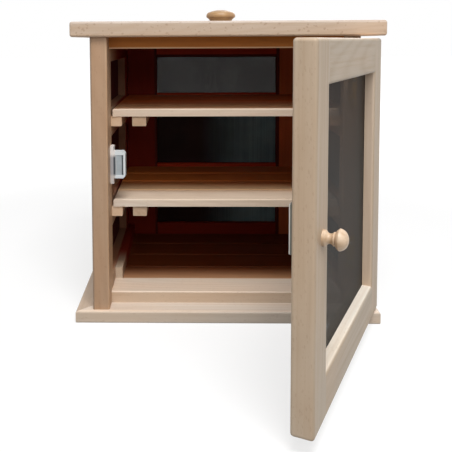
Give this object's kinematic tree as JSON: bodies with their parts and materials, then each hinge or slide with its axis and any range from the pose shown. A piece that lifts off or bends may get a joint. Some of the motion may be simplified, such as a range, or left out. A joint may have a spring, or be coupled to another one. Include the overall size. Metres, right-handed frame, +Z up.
{
  "type": "pie safe",
  "caption": "Countertop food cupboard of pale wood with mesh sides, back and hinged mesh door, slatted shelves, overhanging top with a carrying knob and a mitred base frame",
  "frame": {"origin": "centre of the base frame's underside, on the surface it stands on", "axes": "+Z up, the open front faces -Y, +X to the right seen from the front; the door hangs at +X and stands partly open at rest"},
  "size_m": [0.365, 0.5485, 0.376],
  "materials": {
    "beech": "waxed pale beech, fine straight grain, satin",
    "knob_wood": "turned, stained a darker honey brown, satin",
    "pale_knob_wood": "turned pale beech, satin",
    "mesh": "fine woven wire, dark grey",
    "catch_plastic": "moulded white plastic, satin",
    "magnet": "plated magnet block, dull blue-grey",
    "pole_steel": "zinc-plated sheet",
    "strike_zinc": "pale zinc-coated steel sheet, satin",
    "hinge_brass": "plain brass, slightly dulled",
    "screw_steel": "zinc-plated"
  },
  "bodies": {
    "case": {"back_bottom_rail": "beech", "back_left_stile": "beech", "back_lower_mid_rail": "beech", "back_mesh": "mesh", "back_right_stile": "beech", "back_top_rail": "beech", "back_upper_mid_rail": "beech", "base_back_rail": "beech", "base_front_rail": "beech", "base_left_rail": "beech", "base_right_rail": "beech", "case_beads": "beech", "case_small_screws": "screw_steel", "catch_case": "catch_plastic", "catch_magnet": "magnet", "catch_pole_plates": "pole_steel", "floor_boards": "beech", "floor_kerbs": "beech", "front_top_rail": "beech", "hinge_case_leaves": "hinge_brass", "hinge_pins": "hinge_brass", "left_back_stile": "beech", "left_bottom_rail": "beech", "left_front_stile": "beech", "left_lower_mid_rail": "beech", "left_mesh": "mesh", "left_top_rail": "beech", "left_upper_mid_rail": "beech", "lower_left_runner": "beech", "lower_right_runner": "beech", "right_back_stile": "beech", "right_bottom_rail": "beech", "right_front_stile": "beech", "right_lower_mid_rail": "beech", "right_mesh": "mesh", "right_top_rail": "beech", "right_upper_mid_rail": "beech", "sill": "beech", "top_board": "beech", "top_knob": "knob_wood", "upper_left_runner": "beech", "upper_right_runner": "beech", "wood_screws": "screw_steel"},
    "door": {"door_beads": "beech", "door_bottom_rail": "beech", "door_hinge_stile": "beech", "door_knob": "pale_knob_wood", "door_latch_stile": "beech", "door_mesh": "mesh", "door_screws": "screw_steel", "door_top_rail": "beech", "hinge_door_leaves": "hinge_brass", "strike_plate": "strike_zinc"},
    "upper_shelf": {"upper_shelf_battens": "beech", "upper_shelf_slats": "beech"},
    "lower_shelf": {"lower_shelf_battens": "beech", "lower_shelf_slats": "beech"}
  },
  "joints": [
    {"name": "door_hinge", "type": "hinge", "parent": "case", "child": "door", "pos_m": [0.1625, -0.121, 0.176], "axis": [0, 0, 1], "range_deg": [-64.6, 115.4]},
    {"name": "upper_shelf_slide", "type": "slide", "parent": "case", "child": "upper_shelf", "axis": [0, -1, 0], "range_m": [-0.02, 0.012]},
    {"name": "lower_shelf_slide", "type": "slide", "parent": "case", "child": "lower_shelf", "axis": [0, -1, 0], "range_m": [-0.02, 0.012]}
  ]
}
